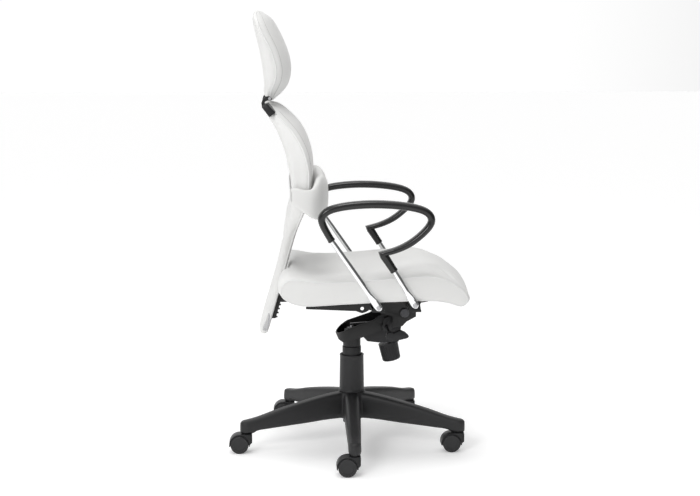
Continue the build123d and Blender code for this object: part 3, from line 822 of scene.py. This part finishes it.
def armLoop(side, label):
    y = side * arm["plane"]
    smooth = evenly(rounded(arm["route"], 3), 120)
    total = len(smooth)
    sizes = []
    for i in range(total):
        t = i / (total - 1)
        thick = 0.0092 + 0.0016 * math.sin(math.pi * min(1.0, t * 1.25))
        wide = 0.0125 + (arm["wide"] - 0.0125) * min(1.0, t * 6)
        sizes.append((wide, thick * (1 - 0.18 * max(0.0, (t - 0.85) / 0.15))))
    corner = smooth[-1]
    end = np.array(arm["sleeveEnd"])
    sleeve = [corner + (end - corner) * t for t in np.linspace(0, 1, 10)][1:]
    line = [(x, y, z) for x, z in np.vstack([smooth, sleeve])]
    sizes += [(0.0165 - 0.0040 * t, 0.0118 - 0.0018 * t) for t in np.linspace(0.1, 1, len(sleeve))]
    made = sweepLine("armLoop_" + label, line, oval(1, 1, 32, 2.5), sizes)
    made.data.set_sharp_from_angle(angle=math.radians(50))
    finishPiece(made, "seat", "arm_plastic", ["arm_loop_" + label])
    for place, toward, wide, thick in ((smooth[0], smooth[3], 0.0128, 0.0096),
                                       (end, corner, 0.0128, 0.0104)):
        lean = (toward - place) / np.linalg.norm(toward - place)
        lip = [(place[0] + lean[0] * t, y, place[1] + lean[1] * t)
               for t in (-0.0012, 0.0, 0.0035, 0.005)]
        shape = [(0.93, 0.93), (1.03, 1.03), (1.03, 1.03), (0.98, 0.98)]
        ring = sweepLine("sleeveLip_" + label, lip, oval(wide, thick, 32, 2.3), shape)
        finishPiece(ring, "seat", "arm_plastic")


chrome = {
    "radius": 0.008, "rearFoot": (0.057, 0.441), "frontFoot": (0.154, 0.447),
    "rearTop": (-0.067, 0.621), "frontTop": (0.0975, 0.5395),
}


def chromeTube(name, top, foot, y):
    # round tube whose end is pressed flat, with a rounded tongue
    top, foot = np.array(top), np.array(foot)
    lean = (foot - top) / np.linalg.norm(foot - top)
    length = np.linalg.norm(foot - top)
    start = -0.018
    stops = [(start, 1, 1), (length - 0.052, 1, 1), (length - 0.044, 1.0, 1.0),
             (length - 0.030, 0.74, 1.12), (length - 0.020, 0.45, 1.22), (length - 0.012, 0.375, 1.24),
             (length - 0.002, 0.375, 1.22), (length + 0.004, 0.375, 1.05),
             (length + 0.0075, 0.37, 0.70), (length + 0.0090, 0.33, 0.30)]
    line, sizes = [], []
    for distance, thin, wide in stops:
        x, z = top + lean * distance
        line.append((x, y, z))
        sizes.append((thin, wide))
    made = sweepLine(name, line, oval(chrome["radius"], chrome["radius"], 32), sizes)
    finer = made.modifiers.new("finer", "SUBSURF")
    finer.levels = 2
    finer.render_levels = 2
    applyAll(made)
    made.data.polygons.foreach_set("use_smooth", [True] * len(made.data.polygons))
    return made


def screwHead(name, x, y, z, radius, high, side, body):
    # domed cap screw with a six-sided socket, facing along Y
    profile = [(0.0, 0.0), (radius, 0.0), (radius, high * 0.35), (radius * 0.9, high * 0.75),
               (radius * 0.62, high), (radius * 0.5, high)]
    rings = []
    for r, h in profile:
        rings.append([(x + r * math.cos(a), y + side * h, z + r * math.sin(a))
                      for a in np.linspace(0, 2 * math.pi, 24, endpoint=False)])
    for r, h in ((radius * 0.46, high), (radius * 0.46, high * 0.35)):
        ring = []
        for a in np.linspace(0, 2 * math.pi, 24, endpoint=False):
            flat = math.cos(math.pi / 6) / math.cos((a % (math.pi / 3)) - math.pi / 6)
            ring.append((x + r * flat * math.cos(a), y + side * h, z + r * flat * math.sin(a)))
        rings.append(ring)
    made = ringSkin(name, rings)
    made.data.set_sharp_from_angle(angle=math.radians(35))
    return finishPiece(made, body, "bare_steel")


for side, label in ((1, "left"), (-1, "right")):
    armLoop(side, label)
    y = side * arm["plane"]
    rearTube = chromeTube("chromeTubeRear_" + label, chrome["rearTop"], chrome["rearFoot"], y)
    finishPiece(rearTube, "seat", "chrome_tube", ["arm_tubes_" + label])
    frontTube = chromeTube("chromeTubeFront_" + label, chrome["frontTop"], chrome["frontFoot"], y)
    finishPiece(frontTube, "seat", "chrome_tube")
    for where in ("rearFoot", "frontFoot"):
        x, z = chrome[where]
        screwHead(f"armScrew_{where}_{label}", x, y + side * 0.003, z, 0.0055, 0.003, side, "seat")
print("arms made")

# star base: five legs and a hub, cast as one piece
base = {
    "turn": -91.66, "voxel": 0.0028,
    "top": [(0.0, 0.1495), (0.038, 0.1490), (0.080, 0.1435), (0.150, 0.1300), (0.220, 0.1140),
            (0.285, 0.0965), (0.308, 0.0925), (0.322, 0.0905), (0.330, 0.0860)],
    "low": [(0.0, 0.0750), (0.060, 0.0745), (0.150, 0.0690), (0.240, 0.0640), (0.286, 0.0605),
            (0.293, 0.0550), (0.330, 0.0550)],
    "half": [(0.0, 0.0260), (0.040, 0.0252), (0.120, 0.0232), (0.220, 0.0205), (0.290, 0.0184),
             (0.312, 0.0182), (0.322, 0.0150), (0.330, 0.0070)],
}


def starBase():
    top, low, half = (through(base[key]) for key in ("top", "low", "half"))
    pieces = []
    stations = list(np.linspace(0.0, 0.31, 40)) + [0.316, 0.321, 0.325, 0.328, 0.3300]
    loop = oval(1, 1, 36, 4.2)
    for k in range(5):
        angle = math.radians(base["turn"] + 72 * k)
        c, s = math.cos(angle), math.sin(angle)
        rings = []
        for r in stations:
            wide, high, bottom = float(half(r)), float(top(r)), float(low(r))
            middle, tall = (high + bottom) / 2, (high - bottom) / 2
            ring = []
            for a, b in loop:
                taper = 1.0 - 0.10 * (b + 1) / 2  # walls lean in towards the top
                ring.append((r * c - a * wide * taper * s, r * s + a * wide * taper * c,
                             middle + b * tall))
            rings.append(ring)
        pieces.append(ringSkin("leg", rings))
    profile = [(0.001, 0.073), (0.034, 0.073), (0.037, 0.076), (0.0375, 0.145), (0.036, 0.1512),
               (0.030, 0.152), (0.001, 0.152)]
    turn = np.linspace(0, 2 * math.pi, 64, endpoint=False)
    rings = [[(r * math.cos(a), r * math.sin(a), z) for a in turn] for r, z in profile]
    pieces.append(ringSkin("hub", rings))
    bpy.ops.object.select_all(action="DESELECT")
    for piece in pieces:
        piece.select_set(True)
    bpy.context.view_layer.objects.active = pieces[0]
    bpy.ops.object.join()
    made = pieces[0]
    made.name = "starBaseCasting"
    remesh = made.modifiers.new("cast", "REMESH")
    remesh.mode = "VOXEL"
    remesh.voxel_size = base["voxel"]
    applyAll(made)
    ease = made.modifiers.new("ease", "SMOOTH")
    ease.factor = 0.5
    ease.iterations = 7
    applyAll(made)
    made.data.polygons.foreach_set("use_smooth", [True] * len(made.data.polygons))
    return finishPiece(made, "base", "base_nylon", ["star_base"])


starBase()
print("base made")

# toothed rack on the spine's front, for the back's height
rack = {"low": 0.366, "high": 0.429, "body": 0.0115, "half": 0.014, "depth": 0.0172, "teeth": 6,
        "tooth": 0.0052, "toothHalf": 0.0045, "ease": 0.0006}


def plateSkin(name, outline, half):
    # flat plate of a side-view outline, centred on the middle plane
    count = len(outline)
    points = [(x, side * half, z) for side in (-1, 1) for x, z in outline]
    faces = [tuple(range(count)), tuple(range(count, 2 * count))]
    faces += [(k, (k + 1) % count, count + (k + 1) % count, count + k) for k in range(count)]
    return meshObject(name, points, faces)


def backRack():
    low, high = rack["low"], rack["high"]
    root = [(spineFront(z) - 0.001, z) for z in (high, low)]
    front = [(spineFront(z) + rack["body"], z) for z in (low, high)]
    spine = plateSkin("rackBody", root + front, rack["half"])
    pitch = (high - low - rack["tooth"]) / (rack["teeth"] - 1)
    comb = list(root)
    for k in range(rack["teeth"]):
        foot = low + k * pitch
        heel, tip = spineFront(foot) + rack["body"] - 0.001, spineFront(foot) + rack["depth"]
        comb += [(heel, foot), (tip, foot + 0.0004), (tip - 0.0008, foot + rack["tooth"] * 0.7),
                 (heel, foot + rack["tooth"])]
    teeth = plateSkin("rackTeeth", comb, rack["toothHalf"])
    for made in (spine, teeth):
        bevel = made.modifiers.new("ease", "BEVEL")
        bevel.width = rack["ease"]
        bevel.segments = 2
        applyAll(made)
        made.data.set_sharp_from_angle(angle=math.radians(36))
    finishPiece(spine, "back", slotOf["back_rack"], ["back_rack"])
    finishPiece(teeth, "back", slotOf["back_rack"])


backRack()

# hard pieces whose CAD shape is right, with eased edges
easing = {
    "tilt_housing": 0.0012, "lever_bracket": 0.0012, "spring_box": 0.001, "seat_plate": 0.0008,
    "arm_straps": 0.0008, "back_carrier": 0.001, "yoke_cap_left": 0.0022,
    "yoke_cap_right": 0.0022, "lever_handle": 0.0018, "pivot_axle": 0.0006, "back_bar": 0.001,
    "seat_shell": 0.002, "lumbar_strap": 0.0008, "cover_lower": 0.0008, "cover_upper": 0.0005,
}
shell = {"bendStart": 0.150, "bendLength": 0.085, "drawBack": 0.0215, "turnUp": 0.012}
for nodeName, width in easing.items():
    eased = softened(nodeName, width)
    if nodeName == "seat_shell":
        # its front edge is drawn back and turned up into the cushion
        for vertex in eased.data.vertices:
            bend = min(1.0, max(0.0, (vertex.co.x - shell["bendStart"]) / shell["bendLength"]))
            vertex.co.x -= shell["drawBack"] * bend ** 2
            vertex.co.z += shell["turnUp"] * bend ** 1.5
for k in range(1, 6):
    softened(f"caster_{k}_hood", 0.0012)
print("eased pieces made")

# floor, light and camera
floorMesh = bpy.data.meshes.new("floor")
floorMesh.from_pydata([(-30, -30, 0), (30, -30, 0), (30, 30, 0), (-30, 30, 0)], [], [(0, 1, 2, 3)])
floor = bpy.data.objects.new("floor", floorMesh)
bpy.context.scene.collection.objects.link(floor)
floorPaint = Paint("paleFloor", (0.93, 0.93, 0.93), 0.9, Emission_Strength=0.25)
floor.data.materials.append(floorPaint.material)

studio = {"level": 1.02, "frontDim": 0.80, "rearDim": 0.32, "nearDim": 0.53, "topLift": 0.25,
          "least": 0.12}


def studioWorld():
    # even white light that falls off towards the chair's front and lifts overhead
    world = bpy.data.worlds.new("studio")
    bpy.context.scene.world = world
    world.use_nodes = True
    sky = Tree(world.node_tree)
    toward = sky.node("ShaderNodeTexCoord", {}, {}, "Generated")
    parts = sky.node("ShaderNodeSeparateXYZ", {}, {"Vector": toward})
    across, along, up = (Value(sky, parts.socket.node.outputs[key]) for key in ("X", "Y", "Z"))
    ramp = {"interpolation_type": "SMOOTHSTEP"}

    def rising(value, low, high):
        return sky.node("ShaderNodeMapRange", ramp,
                        {"Value": value, "From Min": low, "From Max": high})

    front = rising(across, 0.15, 0.85)
    rear = rising(across * -1, 0.35, 0.95)
    top = rising(up, 0.35, 0.95)
    near = rising(along * -1, -0.1, 0.6)
    level = studio["level"] - front * studio["frontDim"] - near * studio["nearDim"]
    level = level - rear * studio["rearDim"] + top * studio["topLift"]
    level = level.maths("MAXIMUM", level, studio["least"])
    world.node_tree.links.new(level.socket, world.node_tree.nodes["Background"].inputs["Strength"])
    world.node_tree.nodes["Background"].inputs["Color"].default_value = (1, 1, 1, 1)


studioWorld()


def softbox(name, place, target, size, power):
    light = bpy.data.lights.new(name, "AREA")
    light.shape = "RECTANGLE"
    light.size, light.size_y = size
    light.energy = power
    made = bpy.data.objects.new(name, light)
    made.location = place
    made.rotation_euler = (Vector(target) - Vector(place)).to_track_quat("-Z", "Y").to_euler()
    bpy.context.scene.collection.objects.link(made)
    return made


softbox("topLight", (-0.2, -0.5, 3.0), (0, 0, 0.5), (0.8, 0.8), 15)
softbox("keyLight", (-1.7, -3.0, 2.4), (0, 0, 0.7), (1.1, 1.1), 40)

# a dark card beside the chair, for the dark lines in the chrome
cardCorners = [(1.00, -2.10, 0.2), (1.16, -2.02, 0.2), (1.16, -2.02, 2.4), (1.00, -2.10, 2.4)]
card = meshObject("darkCard", cardCorners, [(0, 1, 2, 3)], False)
card.data.materials.append(Paint("darkCard", (0.01, 0.01, 0.01), 0.9).material)
card.visible_camera = False
card.visible_shadow = False
card.visible_diffuse = False

view = {"place": (-0.2087, -3.7276, 1.1242), "yaw": 3.128, "pitch": 8.5515, "focal": 1338.45}
camera = bpy.data.objects.new("camera", bpy.data.cameras.new("camera"))
camera.data.sensor_width = 36
camera.data.lens = 36 * view["focal"] / 700
camera.location = view["place"]
camera.rotation_euler = (math.radians(90 - view["pitch"]), 0, -math.radians(view["yaw"]))
bpy.context.scene.collection.objects.link(camera)
bpy.context.scene.camera = camera
bpy.context.scene.view_settings.view_transform = "Standard"

print("scene ready")
